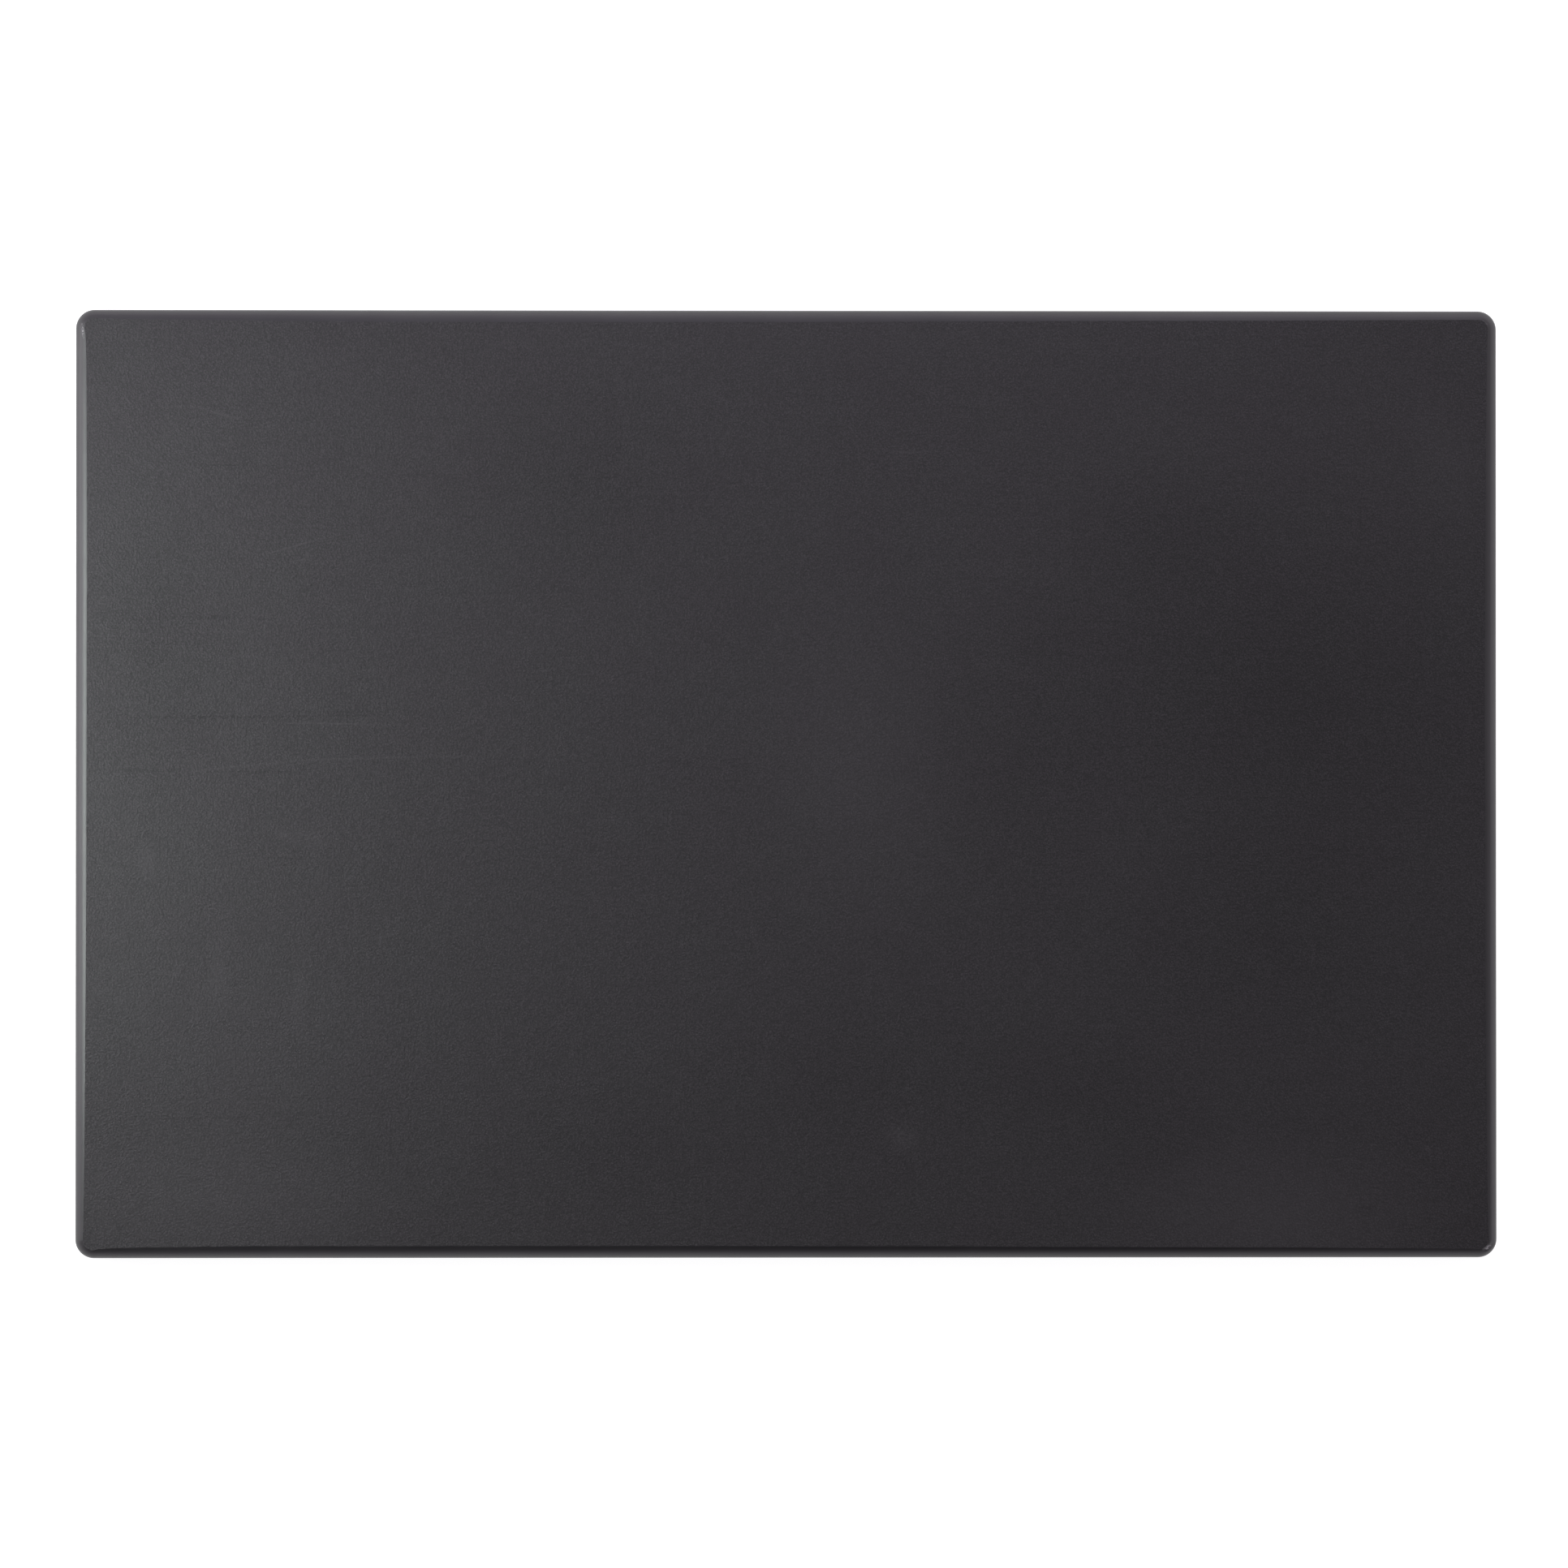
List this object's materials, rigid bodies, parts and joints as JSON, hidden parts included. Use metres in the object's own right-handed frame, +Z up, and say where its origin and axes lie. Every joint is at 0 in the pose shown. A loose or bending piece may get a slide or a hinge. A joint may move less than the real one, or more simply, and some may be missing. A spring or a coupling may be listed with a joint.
{
  "type": "self-healing mat",
  "caption": "Thick black laminated self-healing mat for cutting and punching leather, rectangular, with a pebbled working face, rounded corners and quarter-round edges.",
  "frame": {"origin": "centre of the underside", "axes": "+X along the mat's length, +Y along its width, +Z up through its thickness"},
  "size_m": [0.4572, 0.3048, 0.0127],
  "materials": {
    "healing_ply": "matt black, fine pebble grain on the face, smooth routed rim",
    "bond_film": "black hot-melt film, seen only as a hairline at the wall",
    "rigid_core": "black, sawn and routed edge"
  },
  "bodies": {
    "root": {"bottom_healing_ply": "healing_ply", "lower_bond_film": "bond_film", "rigid_core": "rigid_core", "upper_bond_film": "bond_film", "top_healing_ply": "healing_ply"}
  },
  "joints": []
}
